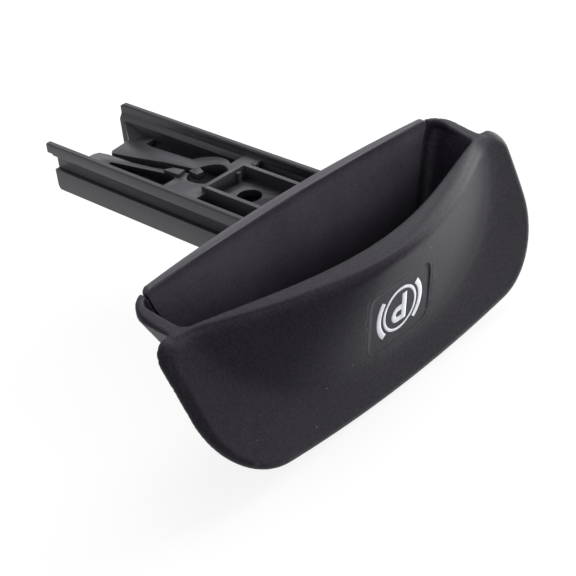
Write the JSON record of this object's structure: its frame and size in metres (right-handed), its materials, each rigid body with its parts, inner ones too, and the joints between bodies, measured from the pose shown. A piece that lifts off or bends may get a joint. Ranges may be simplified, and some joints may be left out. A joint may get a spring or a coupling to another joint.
{
  "type": "parking brake release handle",
  "caption": "Moulded pull handle with a finger cup behind a leaning, scooped face, on a ribbed slide shank with a keyhole web.",
  "frame": {"origin": "centre of the bounding box of the whole handle", "axes": "+X to the right seen from the front of the face, +Y back along the shank, +Z to the side on which the finger cup is open"},
  "size_m": [0.119, 0.1082, 0.0414],
  "materials": {
    "grip_soft_black": "fine matte grain, soft to the touch, with a printed near-white sign on the face",
    "shank_black": "plain moulded, slightly shiny"
  },
  "bodies": {
    "root": {"grip": "grip_soft_black", "slide_shank": "shank_black"}
  },
  "joints": []
}
